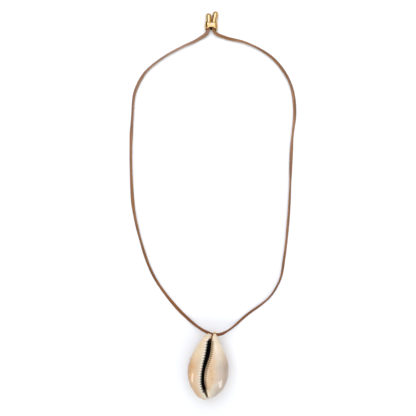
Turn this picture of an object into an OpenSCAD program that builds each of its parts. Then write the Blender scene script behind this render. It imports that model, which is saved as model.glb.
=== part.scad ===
// Cowrie shell necklace, laid flat: X across, Y up the loop, Z off the surface.

/* [Shell] */
// Length of the shell along its own axis
shell_len = 50; // [40:0.5:64]
// Width of the shell across its margins
shell_w = 31.8; // [26:0.2:40]
// Height of the shell from its back to its base
shell_h = 25; // [21:0.5:31]
// Turn of the shell's axis away from the loop's axis
shell_turn = 4; // [0:0.5:12]
// Wall of the shell's back and sides
shell_wall = 1.7; // [1.2:0.1:2.4]
// Depth of the lips where the base rolls into the slit
lip_depth = 3.2; // [2.2:0.1:4]
// Radius over the edge of the outer lip
lip_round = 1.3; // [0.8:0.05:1.6]
// Width of the slit at its widest
slit_w = 3.1; // [2.4:0.1:3.8]
// Radius of the canal at either end of the shell
canal_r = 1; // [0.8:0.05:1.3]
// Number of teeth on the outer lip
tooth_count = 20; // [16:1:24]
// Depth of the grooves between the teeth
tooth_depth = 0.6; // [0.3:0.05:0.7]

/* [Bail] */
// Width of the bail's band along the cord
bail_w = 2.3; // [1.6:0.1:3.6]
// Wall of the bail's band
bail_wall = 0.4; // [0.3:0.05:0.6]
// Radius of the peg that is set in the shell
peg_r = 0.55; // [0.4:0.05:0.7]
// Depth of the hole drilled for the peg
peg_hole = 3.5; // [3:0.25:4.5]

/* [Cord] */
// Width of the flat silk cord
cord_w = 2.6; // [2.2:0.1:2.8]
// Thickness of the cord
cord_t = 1.8; // [1.4:0.1:2]

/* [Slide bead] */
// Width of the bead at its middle
bead_w = 10.2; // [9.4:0.1:12]
// Width of the bead at its two mouths
bead_mouth_w = 9.3; // [8.8:0.1:10]
// Length of the bead along the cord
bead_len = 6.5; // [5.5:0.25:9]
// Thickness of the bead at its middle
bead_t = 6.6; // [6:0.1:8]
// Thickness of the bead at its two mouths
bead_mouth_t = 6; // [5.7:0.1:6.4]
// Wall of the bead at its mouths
bead_wall = 0.45; // [0.35:0.05:0.6]

/* [End caps] */
// Length of an end cap
cap_len = 9.7; // [8:0.1:11]
// Radius of an end cap below its rounded top
cap_r = 2.3; // [2.1:0.05:2.5]
// Wall of an end cap at its open foot
cap_wall = 0.35; // [0.25:0.05:0.45]
// Depth of the socket for the cord's end
cap_socket = 4.8; // [3.5:0.1:5.5]

/* [Fits] */
// Gap left all round between pieces that meet
gap = 0.1; // [0.05:0.01:0.2]

/* [Hidden] */

cream = [0.90, 0.82, 0.70];
gold = [0.85, 0.66, 0.33];
silk = [0.58, 0.42, 0.33];
round_fn = 64;

// Tip of the shell, and the middle of the bead
TIP = [1.8, -101.2];
bead_x = 2.4;
bead_y = 140.3;

// Columns of the shell's section table
ALONG = 0;
LEFT = 1;
RIGHT = 2;
RIM = 3;
CREST = 4;
BACK = 5;
SLIT = 6;
SLIT_W = 7;
OPEN = 8;
ROLL = 9;

// Sections of the shell from its narrow end. LEFT, RIGHT and SLIT are shares of half the
// width, RIM, CREST and BACK of the height, and SLIT_W of the slit's width. OPEN runs from 0,
// where the wall closes in on the canal, to 1, and ROLL is the roll of the inner lip as a
// share of the lip's depth.
SECTIONS = [
    [0.000, 0.15, 0.18, 0.70, 0.80, 0.54, 0.09, 0.17, 0.00, 0.12],
    [0.012, 0.20, 0.27, 0.70, 0.81, 0.53, 0.08, 0.17, 0.00, 0.15],
    [0.030, 0.27, 0.34, 0.70, 0.83, 0.50, 0.05, 0.21, 0.00, 0.20],
    [0.060, 0.35, 0.41, 0.70, 0.85, 0.46, 0.01, 0.50, 0.00, 0.30],
    [0.100, 0.43, 0.46, 0.70, 0.87, 0.41, -0.02, 0.84, 0.10, 0.40],
    [0.160, 0.56, 0.56, 0.69, 0.90, 0.33, -0.03, 0.92, 0.35, 0.50],
    [0.240, 0.70, 0.71, 0.68, 0.93, 0.22, -0.05, 1.00, 0.80, 0.65],
    [0.330, 0.82, 0.85, 0.67, 0.96, 0.12, -0.09, 0.98, 1.00, 0.85],
    [0.430, 0.92, 0.95, 0.66, 0.98, 0.05, -0.16, 0.84, 1.00, 1.00],
    [0.550, 0.98, 1.00, 0.66, 1.00, 0.00, -0.22, 0.65, 1.00, 1.00],
    [0.650, 0.97, 0.99, 0.66, 1.00, 0.01, -0.23, 0.66, 1.00, 0.90],
    [0.750, 0.89, 0.91, 0.67, 0.98, 0.06, -0.19, 0.73, 1.00, 0.85],
    [0.840, 0.75, 0.77, 0.68, 0.94, 0.17, -0.10, 0.69, 0.85, 0.70],
    [0.910, 0.58, 0.56, 0.70, 0.90, 0.30, -0.01, 0.42, 0.40, 0.45],
    [0.960, 0.44, 0.39, 0.71, 0.86, 0.43, 0.05, 0.21, 0.05, 0.28],
    [0.985, 0.31, 0.28, 0.71, 0.83, 0.52, 0.06, 0.18, 0.00, 0.16],
    [1.000, 0.20, 0.22, 0.71, 0.80, 0.58, 0.06, 0.18, 0.00, 0.12]
];

// The teeth run between these two shares of the length
tooth_from = 0.085;
tooth_to = 0.885;
// Stations from crest to crest on the outer lip, and on the finer inner lip
outer_step = 4;
inner_step = 3;
// The inner lip's teeth fade out between these two shares of the length
inner_fade = [0.5, 0.75];

// How square the base and the back are, as the power of a superellipse
base_power = 2.3;
back_power = 2.15;
// How far the back draws in under each end, and how far along that reaches
front_drop = 5.5;
rear_drop = 3;
drop_reach = 0.25;
// Notch between the lobes at each end. The inner lip's lobe is longer in front, shorter behind
notch_depth = 0.7;
notch_half = 1.2;
front_lobe_reach = 0.6;
rear_lobe_drop = 0.9;
end_reach = 0.08;
// Points round each lip, steps round each half of the base, and steps round the back
LIP_ANGLES = [90, 45, 0];
LIP_CUTS = [1, 0.7, 0.15];
base_steps = 5;
back_steps = 10;

// How much the hollow keeps beyond the slit where it narrows to the canal
canal_side = 0.3;

// Corner of the cord's eight-sided section, measured from its middle
cord_sides = 8;
cord_reach = norm([cord_w / 2, cord_t / 2 * tan(180 / cord_sides)]);
ring_gap = 3.1 * cord_w;

// Band of the bail, in the shell's own frame: it hangs just under the overhanging tip
bail_x = 3.3;
bail_in = 0.9;
bail_under_rim = 3.5;
band_r = cord_reach + gap;
band_out = band_r + bail_wall;
band_crown = 0.15;
peg_mouth_in = 4.2;

// The slot in the middle of the slide bead that grips the two strands
bead_z = bead_t / 2;
bead_power = 2.8;
bead_sides = 28;
bead_steps = 8;
// How far the bead's walls are scooped back at its rear mouth, and at the top and the bottom
// of its front mouth
rear_scoop = 1.2;
top_scoop = 1.7;
bottom_scoop = 0.8;
slot_x = bead_mouth_w / 2 - bead_wall - 0.15;
slot_z = cord_t / 2 + 2 * gap;
slot_len = 1.8;
slot_power = 5;
slot_flare = 0.4;
// Middle of the slot, ahead of the bead's own so that the left cap goes into the rear mouth
slot_y = -1;

// A place beside the middle of the bead
function by_bead(x, y, z) = [bead_x + x, bead_y + y, z];

// Middle of each cap's foot, and its lean away from +Y. Each top dips to the surface
cap_socket_r = cord_reach + gap;
cap_foot_r = cap_socket_r + cap_wall;
CAP_LEFT = by_bead(-1.97, 0.75, bead_z);
CAP_RIGHT = by_bead(1.93, 2.4, bead_z);
cap_left_lean = 0.5;
cap_right_lean = -11.8;
cap_dip = asin((bead_z - cap_r) / (cap_len - cap_r));
cord_in_cap = cap_socket - 0.3;

// Cubic through the section table, its slopes weighted by the spacing of the rows
function row_at(v, i = 0) =
    i >= len(SECTIONS) - 2 || v <= SECTIONS[i + 1][ALONG] ? i : row_at(v, i + 1);
function span(i) = SECTIONS[i + 1][ALONG] - SECTIONS[i][ALONG];
function rise(i, c) = (SECTIONS[i + 1][c] - SECTIONS[i][c]) / span(i);
function slope(i, c) =
    i == 0 ? rise(0, c)
    : i == len(SECTIONS) - 1 ? rise(i - 1, c)
    : (span(i) * rise(i - 1, c) + span(i - 1) * rise(i, c)) / (span(i) + span(i - 1));
function cubic(a, b, slope_a, slope_b, h, u) =
    a * (1 + 2 * u) * (1 - u) * (1 - u) + b * u * u * (3 - 2 * u)
    + h * slope_a * u * (1 - u) * (1 - u) + h * slope_b * u * u * (u - 1);
function at(v, c) =
    let (i = row_at(v))
    cubic(SECTIONS[i][c], SECTIONS[i + 1][c], slope(i, c), slope(i + 1, c), span(i),
          (v - SECTIONS[i][ALONG]) / span(i));
function ramp(v, from, to) = min(1, max(0, (v - from) / (to - from)));

// Stations along the shell: four to each tooth of the outer lip, and a few at the ends
tooth_stations = tooth_count * outer_step;
FRONT_ENDS = [0, 0.006, 0.018, 0.035, 0.058];
REAR_ENDS = [0.905, 0.93, 0.952, 0.97, 0.984, 0.994, 1];
STATIONS = concat(
    FRONT_ENDS,
    [for (k = [0:tooth_stations]) tooth_from + (tooth_to - tooth_from) * k / tooth_stations],
    REAR_ENDS
);
function tooth_index(i) = i - len(FRONT_ENDS);
function toothed(i) = tooth_index(i) >= 0 && tooth_index(i) <= tooth_stations;
function groove(i, step) = toothed(i) ? (1 - cos(360 * tooth_index(i) / step)) / 2 : 0.5;
function inner_teeth(v) = 1 - ramp(v, inner_fade[0], inner_fade[1]);

// Sizes of the section at a share of the length
function half_at(v, side) = at(v, side) * shell_w / 2;
function up_at(v) = (at(v, CREST) - at(v, RIM)) * shell_h;
function down_at(v) = (at(v, RIM) - at(v, BACK)) * shell_h;
shell_lift = -min([for (v = STATIONS) at(v, BACK)]) * shell_h;
bail_z = at(0, RIM) * shell_h + shell_lift - bail_under_rim;
function rim_at(v) = at(v, RIM) * shell_h + shell_lift;
function slit_at(v) = at(v, SLIT) * shell_w / 2;

// A superellipse quadrant: its height at x, and its radius at a polar angle
function dome(x, half, high, p) = high * pow(max(0, 1 - pow(abs(x) / half, p)), 1 / p);
function polar(a, half, high, p) =
    pow(pow(abs(cos(a)) / half, p) + pow(abs(sin(a)) / high, p), -1 / p);

// Angles round a section from the outer lip over the back to the inner lip
function sweep(left_a, right_a, first, steps) = concat(
    [for (k = [first:steps - 1]) left_a + (180 - left_a) * k / steps],
    [for (k = [0:back_steps]) 180 + 180 * k / back_steps],
    [for (k = [1:steps - first]) 360 + right_a * k / steps]
);

// How far a point is drawn in from the ends of the shell
function drawn_in(v, x, sine) =
    let (
        front = pow(max(0, 1 - v / drop_reach), 2),
        rear = pow(max(0, 1 - (1 - v) / drop_reach), 2),
        front_tip = max(0, 1 - v / end_reach),
        rear_tip = max(0, 1 - (1 - v) / end_reach),
        off = (x - slit_at(v)) / notch_half,
        notch = notch_depth * exp(-off * off) * (1 + sine) / 2,
        front_lobe = front_lobe_reach * front_tip * ramp(off, 0, 1) * (1 + sine) / 2
    )
    (rear * rear_drop - front * front_drop) * pow(max(0, -sine), 1.1)
    + notch * (rear_tip - front_tip) + front_lobe + rear_lobe_drop * rear_tip * ramp(off, 0, 1);
function place(v, x, z, sine) = [x, drawn_in(v, x, sine) - shell_len * v, z];

// A point on a skin at a polar angle. sizes is [middle, left, right, high, low]
function skin(v, a, sizes) =
    let (
        half = cos(a) < 0 ? sizes[1] : sizes[2],
        r = sin(a) >= 0
            ? polar(a, half, sizes[3], base_power)
            : polar(a, half, sizes[4], back_power),
        z = r * sin(a)
    )
    place(v, sizes[0] + r * cos(a), rim_at(v) + z, z < 0 ? z / down_at(v) : sin(a));

// Rounded edge of a lip, from the slit's face to the shoulder, with its grooves cut in.
// side is -1 for the outer lip and 1 for the inner lip
function lip(v, side, x, z, wide, deep, cut) = [
    for (k = [0:len(LIP_ANGLES) - 1])
        let (b = LIP_ANGLES[k], c = cut * LIP_CUTS[k])
        place(v, x - side * (wide * sin(b) - c * sin(b)),
              z - deep * (1 - cos(b)) - c * cos(b), 1)
];
function reversed(list) = [for (k = [len(list) - 1:-1:0]) list[k]];

// One section of the shell as a closed loop: outer skin there, skin of the hollow back
function section(i) =
    let (
        v = STATIONS[i],
        left = half_at(v, LEFT),
        right = half_at(v, RIGHT),
        high = up_at(v),
        low = down_at(v),
        mid = slit_at(v),
        slit = at(v, SLIT_W) * slit_w / 2,
        fade = ramp(v, 0, tooth_from),
        deep = min(lip_depth, high) * 0.5,
        round_l = lip_round * (0.4 + 0.6 * fade),
        round_r = lip_depth * at(v, ROLL),
        cut_l = tooth_depth * fade * groove(i, outer_step),
        cut_r = tooth_depth * fade * groove(i, inner_step) * inner_teeth(v),
        x_l = mid - slit - round_l,
        x_r = mid + slit + round_r,
        z_l = dome(x_l, left, high, base_power),
        z_r = dome(x_r, x_r < 0 ? left : right, high, base_power),
        outer = sweep(atan2(z_l, x_l), atan2(z_r, x_r), 1, base_steps),
        grow = at(v, OPEN),
        room = max(canal_r, slit + canal_side),
        hollow = [
            mid * (1 - grow),
            room + (left - shell_wall - room) * grow,
            room + (right - shell_wall - room) * grow,
            canal_r + (high - lip_depth - canal_r) * grow,
            canal_r + (low - shell_wall - canal_r) * grow
        ],
        in_l = mid - slit - hollow[0],
        in_r = mid + slit - hollow[0],
        in_zl = dome(in_l, hollow[1], hollow[3], base_power),
        in_zr = dome(in_r, in_r < 0 ? hollow[1] : hollow[2], hollow[3], base_power),
        inner = sweep(atan2(in_zl, in_l), atan2(in_zr, in_r), 0,
                      base_steps + len(LIP_ANGLES) - 1)
    )
    concat(
        lip(v, -1, x_l, rim_at(v) + z_l, round_l, deep, cut_l),
        [for (a = outer) skin(v, a, [0, left, right, high, low])],
        reversed(lip(v, 1, x_r, rim_at(v) + z_r, round_r, deep, cut_r)),
        [for (a = reversed(inner)) skin(v, a, hollow)]
    );

// Triangles between neighbouring closed loops of n points, and across the ends
function strip(i, n) = [
    for (j = [0:n - 1])
        let (a = i * n + j, b = i * n + (j + 1) % n)
        each [[a, a + n, b], [b, a + n, b + n]]
];
function end_quads(start, n, flip) = [
    for (j = [0:n / 2 - 2])
        let (a = start + j, b = start + j + 1, c = start + n - 2 - j, d = start + n - 1 - j)
        each flip ? [[a, d, b], [b, d, c]] : [[a, b, d], [b, c, d]]
];

module in_shell_frame() {
    translate(TIP) rotate([0, 0, -shell_turn]) children();
}

module along_peg() {
    translate([bail_x, 0, bail_z]) rotate([-90, 0, 0]) children();
}

module cowrie_shell() {
    rings = [for (i = [0:len(STATIONS) - 1]) section(i)];
    n = len(rings[0]);
    last = len(rings) - 1;
    color(cream) in_shell_frame() difference() {
        polyhedron(
            points = [for (r = rings) each r],
            faces = concat(
                [for (i = [0:last - 1]) each strip(i, n)],
                end_quads(0, n, false),
                end_quads(last * n, n, true)
            )
        );
        translate([0, -peg_mouth_in - peg_hole, 0]) along_peg()
            cylinder(r = peg_r + gap, h = peg_hole + front_drop, $fn = round_fn);
    }
}

module bail_band() {
    crown_r = (bail_w * bail_w / 4 + band_crown * band_crown) / (2 * band_crown);
    rotate_extrude($fn = round_fn) difference() {
        intersection() {
            translate([0, -bail_w / 2]) square([band_out + band_crown, bail_w]);
            translate([band_out + band_crown - crown_r, 0]) circle(crown_r, $fn = 4 * round_fn);
        }
        translate([0, -bail_w]) square([band_r, 2 * bail_w]);
    }
}

module bail() {
    peg_end = gap - peg_mouth_in - peg_hole;
    peg_start = -bail_in - band_r - bail_wall / 2;
    color(gold) in_shell_frame() {
        translate([bail_x, -bail_in, bail_z]) rotate([0, 90, 0]) bail_band();
        translate([0, peg_end, 0]) along_peg()
            cylinder(r = peg_r, h = peg_start - peg_end, $fn = round_fn);
    }
}

// A place beside the bail, a point in an end cap's socket, and the cord's centre line from
// the left cap through the bead, round the loop, through the bail and back to the right cap
function by_bail(x, y, z) =
    let (across = bail_x + x, along = y - bail_in)
    [TIP[0] + across * cos(shell_turn) + along * sin(shell_turn),
     TIP[1] - across * sin(shell_turn) + along * cos(shell_turn), bail_z + z];
function in_cap(foot, lean, far) =
    foot + far * [-cos(cap_dip) * sin(lean), cos(cap_dip) * cos(lean), -sin(cap_dip)];
ROUTE = [
    in_cap(CAP_LEFT, cap_left_lean, cord_in_cap), CAP_LEFT, by_bead(-2, -1.7, bead_z),
    by_bead(-2.7, -4.2, 2.9), [-7.5, 130.7, 1.2], [-21, 124.3, 0.9], [-37, 115.2, 0.9],
    [-50, 104.2, 0.9], [-58, 89.5, 0.9], [-60.5, 68, 0.9], [-61.3, 20, 0.9],
    [-59.5, -5, 0.9], [-55, -26, 0.9], [-42, -61, 0.9], [-31.5, -76, 0.9],
    [-19, -89.8, 1.1], [-11, -96.2, 4], [-4.5, -99.6, 9.5], by_bail(-5, 0.7, -1.4),
    by_bail(-1.9, 0, 0), by_bail(1.9, 0, 0), by_bail(5, 0.4, -1.4), [14.5, -101, 9],
    [21, -97.7, 3], [30, -90.2, 0.9], [51.5, -72.2, 0.9], [57.5, -61, 0.9],
    [60.7, -44, 0.9], [64, -13, 0.9], [67, 50, 0.9], [69.1, 76, 0.9],
    [66, 94, 0.9], [53, 114, 0.9], [30, 127.8, 0.9], [13, 132.2, 1.2],
    by_bead(2.7, -4.2, 2.8), by_bead(1.9, -1.7, bead_z), by_bead(1.95, 0, bead_z), CAP_RIGHT,
    in_cap(CAP_RIGHT, cap_right_lean, cord_in_cap)
];

// The cord's centre line between two points of its route, and its direction there
function run(i) = norm(ROUTE[i + 1] - ROUTE[i]);
function heading(i) = (ROUTE[i + 1] - ROUTE[i]) / run(i);
function bend(i) =
    i == 0 ? heading(0)
    : i == len(ROUTE) - 1 ? heading(i - 1)
    : (run(i) * heading(i - 1) + run(i - 1) * heading(i)) / (run(i) + run(i - 1));
function on_route(i, u) = cubic(ROUTE[i], ROUTE[i + 1], bend(i), bend(i + 1), run(i), u);
function laid(p) = [p[0], p[1], max(p[2], cord_t / 2)];
CORD_LINE = [
    for (i = [0:len(ROUTE) - 2])
        let (steps = max(1, round(run(i) / ring_gap)))
        for (k = [0:i == len(ROUTE) - 2 ? steps : steps - 1]) laid(on_route(i, k / steps))
];
function unit(v) = v / norm(v);
function cord_ring(i) =
    let (
        before = CORD_LINE[max(0, i - 1)],
        after = CORD_LINE[min(len(CORD_LINE) - 1, i + 1)],
        ahead = unit(after - before),
        side = unit(cross([0, 0, 1], ahead)),
        up = cross(ahead, side),
        grow = 1 / cos(180 / cord_sides)
    )
    [for (k = [0:cord_sides - 1])
        let (a = 360 * (k + 0.5) / cord_sides)
        CORD_LINE[i] + side * (cord_w / 2 * grow * cos(a)) + up * (cord_t / 2 * grow * sin(a))];

module cord() {
    last = len(CORD_LINE) - 1;
    color(silk) polyhedron(
        points = [for (i = [0:last]) each cord_ring(i)],
        faces = concat(
            [for (i = [0:last - 1]) each strip(i, cord_sides)],
            [[for (k = [0:cord_sides - 1]) k]],
            [[for (k = [cord_sides - 1:-1:0]) last * cord_sides + k]]
        )
    );
}

// Loops of the slide bead from its rear mouth over the outside and back through the slot.
// Each is [place along, half width, half thickness, power]
function bead_outside(u) = [
    u * bead_len / 2,
    (bead_mouth_w + (bead_w - bead_mouth_w) * (1 - u * u)) / 2,
    (bead_mouth_t + (bead_t - bead_mouth_t) * (1 - u * u)) / 2,
    bead_power
];
function bead_pocket(y) =
    [y, bead_mouth_w / 2 - bead_wall, bead_mouth_t / 2 - bead_wall, bead_power];
slot_from = slot_y - slot_len / 2;
slot_to = slot_y + slot_len / 2;
BEAD_LOOPS = concat(
    [for (k = [0:bead_steps]) bead_outside(1 - 2 * k / bead_steps)],
    [bead_pocket(-bead_len / 2), bead_pocket(slot_from - slot_flare)],
    [[slot_from, slot_x, slot_z, slot_power], [slot_to, slot_x, slot_z, slot_power]],
    [bead_pocket(slot_to + slot_flare), bead_pocket(bead_len / 2)]
);
function bead_point(loop, a) =
    let (
        r = polar(a, loop[1], loop[2], loop[3]),
        x = r * cos(a),
        reach = 2 * loop[0] / bead_len,
        deep = reach > 0 ? rear_scoop : a < 180 ? top_scoop : bottom_scoop,
        scoop = deep * reach * abs(reach) * (1 - pow(x / loop[1], 2))
    )
    [x, loop[0] - scoop, r * sin(a)];

module slide_bead() {
    loops = len(BEAD_LOOPS);
    n = bead_sides;
    color(gold) translate([bead_x, bead_y, bead_z]) polyhedron(
        points = [for (l = BEAD_LOOPS, k = [0:n - 1]) bead_point(l, 360 * k / n)],
        faces = [
            for (i = [0:loops - 1], k = [0:n - 1])
                let (
                    a = i * n + k,
                    b = i * n + (k + 1) % n,
                    c = (i + 1) % loops * n + (k + 1) % n,
                    d = (i + 1) % loops * n + k
                )
                each [[a, d, b], [b, d, c]]
        ]
    );
}

module end_cap(foot, lean) {
    barrel = cap_len - cap_r;
    color(gold) translate(foot) rotate([0, 0, lean]) rotate([-90 - cap_dip, 0, 0]) difference() {
        union() {
            cylinder(r1 = cap_foot_r, r2 = cap_r, h = barrel, $fn = round_fn);
            translate([0, 0, barrel]) sphere(cap_r, $fn = round_fn);
        }
        translate([0, 0, -1]) cylinder(r = cap_socket_r, h = cap_socket + 1, $fn = round_fn);
    }
}

module end_cap_left() { end_cap(CAP_LEFT, cap_left_lean); }
module end_cap_right() { end_cap(CAP_RIGHT, cap_right_lean); }

cowrie_shell();
bail();
cord();
slide_bead();
end_cap_left();
end_cap_right();
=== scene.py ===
"""Looks of the cowrie shell necklace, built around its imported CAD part. Lengths are in metres."""

import math

import bpy
import numpy as np
from mathutils import Matrix, Vector


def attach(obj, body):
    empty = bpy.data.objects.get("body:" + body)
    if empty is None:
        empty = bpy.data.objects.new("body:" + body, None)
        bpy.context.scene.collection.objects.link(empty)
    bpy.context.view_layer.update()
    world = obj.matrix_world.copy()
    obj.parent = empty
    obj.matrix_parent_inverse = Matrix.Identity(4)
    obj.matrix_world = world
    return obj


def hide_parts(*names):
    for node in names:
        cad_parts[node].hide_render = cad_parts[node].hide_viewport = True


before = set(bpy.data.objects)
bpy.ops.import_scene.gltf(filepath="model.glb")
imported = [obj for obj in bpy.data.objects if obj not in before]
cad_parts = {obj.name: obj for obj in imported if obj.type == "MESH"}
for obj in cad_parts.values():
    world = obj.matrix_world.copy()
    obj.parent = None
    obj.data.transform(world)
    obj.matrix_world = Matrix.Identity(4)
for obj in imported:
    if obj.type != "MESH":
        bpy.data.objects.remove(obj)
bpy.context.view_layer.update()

MM = 0.001
X, Y, Z = 0, 1, 2

# Camera

LENS = 50
SENSOR = 36
CAMERA_AT = (-0.1 * MM, -4.2 * MM, 462 * MM)


def make_camera():
    """The photograph looks straight down, with the top of the loop up."""
    data = bpy.data.cameras.new("camera")
    data.lens = LENS
    data.sensor_width = SENSOR
    camera = bpy.data.objects.new("camera", data)
    camera.location = CAMERA_AT
    bpy.context.scene.collection.objects.link(camera)
    bpy.context.scene.camera = camera


make_camera()

# Curves and meshes


def through(places, values, at):
    """A smooth cubic through values at places, read off at each place in at."""
    places = np.asarray(places, float)
    values = np.asarray(values, float)
    column = (-1,) + (1,) * (values.ndim - 1)
    gaps = np.diff(places).reshape(column)
    rises = np.diff(values, axis=0) / gaps
    before, after = gaps[:-1], gaps[1:]
    inner = (after * rises[:-1] + before * rises[1:]) / (before + after)
    slopes = np.concatenate([rises[:1], inner, rises[-1:]])
    i = np.clip(np.searchsorted(places, at, side="right") - 1, 0, len(gaps) - 1)
    gap = gaps[i]
    u = (at - places[i]).reshape(column) / gap
    return (
        values[i] * (1 + 2 * u) * (1 - u) ** 2
        + values[i + 1] * u * u * (3 - 2 * u)
        + gap * slopes[i] * u * (1 - u) ** 2
        + gap * slopes[i + 1] * u * u * (u - 1)
    )


def unit(v):
    return v / np.linalg.norm(v, axis=-1, keepdims=True)


def smooth_step(low, high, value):
    t = np.clip((value - low) / (high - low), 0, 1)
    return t * t * (3 - 2 * t)


def bump_at(value, middle, half):
    """1 at the middle, falling to nearly 0 two halves away."""
    return np.exp(-(((value - middle) / half) ** 2))


def grid_faces(rings, sides, closed_rings=False):
    """Quads between neighbouring closed loops."""
    i, j = np.meshgrid(np.arange(rings if closed_rings else rings - 1), np.arange(sides), indexing="ij")
    a = i * sides + j
    b = i * sides + (j + 1) % sides
    c = (i + 1) % rings * sides + (j + 1) % sides
    d = (i + 1) % rings * sides + j
    return np.stack([a, b, c, d], -1).reshape(-1, 4).tolist()


def end_faces(rings, sides):
    """One face across the first loop and one across the last."""
    first = list(range(sides))
    last = [(rings - 1) * sides + k for k in first]
    return [first[::-1], last]


def make_mesh(name, points, faces, values=None):
    """A smooth mesh with one number at each point for every name in values."""
    mesh = bpy.data.meshes.new(name)
    mesh.from_pydata(np.asarray(points, float).reshape(-1, 3).tolist(), [], faces)
    mesh.polygons.foreach_set("use_smooth", [True] * len(mesh.polygons))
    for key, numbers in (values or {}).items():
        layer = mesh.attributes.new(key, "FLOAT", "POINT")
        layer.data.foreach_set("value", np.asarray(numbers, np.float32).ravel())
    mesh.validate()
    mesh.update()
    piece = bpy.data.objects.new(name, mesh)
    bpy.context.scene.collection.objects.link(piece)
    return piece


def hand_over(piece, node):
    """The piece stands for a CAD node and rides with it."""
    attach(piece, "root")
    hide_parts(node)
    return piece


# Sizes shared with the part, in millimetres

TIP = np.array([1.8, -101.2, 0])
SHELL_LEN = 50
SHELL_W = 31.8
SHELL_H = 25
SHELL_TURN = math.radians(4)
CORD_W = 2.6
TUBE_T = 1.8
GAP = 0.1
# From the middle of the part's octagonal tube to its farthest corner, and the bore round it
CORD_REACH = math.hypot(CORD_W / 2, TUBE_T / 2 * math.tan(math.radians(22.5)))
SOCKET_R = CORD_REACH + GAP
BEAD_AT = np.array([2.4, 140.3, 3.3])
BEAD_LEN = 6.5
BEAD_W = 10.2
BEAD_T = 6.6
MOUTH_W = 9.3
MOUTH_T = 6
BEAD_WALL = 0.45
BEAD_POWER = 2.8
SCOOP_REAR = 1.2
SCOOP_TOP = 1.7
SCOOP_BOTTOM = 0.8
CAP_LEN = 9.7
CAP_R = 2.3
CAP_WALL = 0.35
CAP_SOCKET = 4.8
CAP_LEFT = BEAD_AT + (-1.97, 0.75, 0)
CAP_RIGHT = BEAD_AT + (1.93, 2.4, 0)
CAP_LEFT_LEAN = math.radians(0.5)
CAP_RIGHT_LEAN = math.radians(-11.8)
CAP_DIP = math.asin((BEAD_AT[2] - CAP_R) / (CAP_LEN - CAP_R))
CORD_IN_CAP = 4.5
BAIL_W = 2.3
BAIL_WALL = 0.4
BAIL_ACROSS = 3.3
BAIL_IN = 0.9
BAIL_Z = 14
PEG_R = 0.55
PEG_TO = 7.6


def shell_to_row(points):
    """Points in the shell's own frame, whose Y runs from its tip, as points of the row."""
    c, s = math.cos(SHELL_TURN), math.sin(SHELL_TURN)
    x, y, z = points[..., X], points[..., Y], points[..., Z]
    return np.stack([x * c + y * s, y * c - x * s, z], -1) + TIP


def by_bail(x, y, z):
    """A point of the row that is given from the middle of the bail."""
    return shell_to_row(np.array([BAIL_ACROSS + x, y - BAIL_IN, BAIL_Z + z]))


def cap_axis(lean):
    """A cap points up the table, leaning left, and dips until its top rests on the surface."""
    level = math.cos(CAP_DIP)
    return np.array([-level * math.sin(lean), level * math.cos(lean), -math.sin(CAP_DIP)])


# Cord

# The folded silk strip: its thickness, its width in the gold pieces and away from them
STRIP_T = 1.2
HELD_W = 2.5
FREE_W = 2.8
STRIP_ROUND = 0.8
CORD_SIDES = 32
CORD_STEP = 0.45
STITCH = 2.0
# The row of stitches: distance along the cord, place as a share of half the width, and strength
SEAM = [
    (0, 0.5, 0.3), (80, 0.2, 0.5), (94, 0.15, 1), (110, 0.25, 1), (118, 0.95, 0.9), (128, 1, 0.3),
    (190, 0.4, 0.3), (300, 0.5, 0.3), (380, 0.8, 0.7), (398, 0.8, 0.7), (420, 0.6, 0.3), (446, 0.34, 1),
    (474, 0.34, 1), (488, 0.3, 0.3), (526, -0.2, 0.9), (552, -0.2, 0.9), (564, 0.2, 0.3), (640, 0.5, 0.3),
]
# Within this many millimetres of a gold piece the cord is gathered to its width there
GATHER = 7
# Heights of the route between which the strip leaves the surface, in millimetres
LEAVES_FLOOR = (0.9, 2.2)

# The part's route, in millimetres
ROUTE = [
    CAP_LEFT + CORD_IN_CAP * cap_axis(CAP_LEFT_LEAN), CAP_LEFT, BEAD_AT + (-2, -1.7, 0),
    BEAD_AT + (-2.7, -4.2, -0.4), (-7.5, 130.7, 1.2), (-21, 124.3, 0.9), (-37, 115.2, 0.9),
    (-50, 104.2, 0.9), (-58, 89.5, 0.9), (-60.5, 68, 0.9), (-61.3, 20, 0.9),
    (-59.5, -5, 0.9), (-55, -26, 0.9), (-42, -61, 0.9), (-31.5, -76, 0.9),
    (-19, -89.8, 1.1), (-11, -96.2, 4), (-4.5, -99.6, 9.5), by_bail(-5, 0.7, -1.4),
    by_bail(-1.9, 0, 0), by_bail(1.9, 0, 0), by_bail(5, 0.4, -1.4), (14.5, -101, 9),
    (21, -97.7, 3), (30, -90.2, 0.9), (51.5, -72.2, 0.9), (57.5, -61, 0.9),
    (60.7, -44, 0.9), (64, -13, 0.9), (67, 50, 0.9), (69.1, 76, 0.9),
    (66, 94, 0.9), (53, 114, 0.9), (30, 127.8, 0.9), (13, 132.2, 1.2),
    BEAD_AT + (2.7, -4.2, -0.5), BEAD_AT + (1.9, -1.7, 0), BEAD_AT + (1.95, 0, 0), CAP_RIGHT,
    CAP_RIGHT + CORD_IN_CAP * cap_axis(CAP_RIGHT_LEAN),
]

# How far the flat cord is rolled on its side, in degrees, at distances along it in millimetres
ROLLS = [
    (0, 0), (8, 0), (14, 8), (26, 46), (38, 58), (50, 60), (62, 57), (74, 33),
    (86, 31), (98, 47), (110, 45), (122, 26), (134, 45), (146, 42), (158, 35), (170, 5),
    (182, 37), (194, 45), (206, 52), (218, 40), (230, 40), (242, 43), (254, 41), (266, 17),
    (278, 27), (290, 36), (300, 30), (306, 4), (310, 4), (316, 34), (326, 54), (338, 45),
    (350, 51), (362, 66), (374, 61), (386, 54), (398, 45), (410, 53), (422, 46), (434, 49),
    (446, 48), (458, 60), (470, 34), (482, 17), (494, 49), (506, 41), (518, 2), (530, 29),
    (542, 41), (554, 31), (566, 40), (578, 59), (590, 59), (602, 32), (612, 26), (619, 0),
    (640, 0),
]


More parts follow.
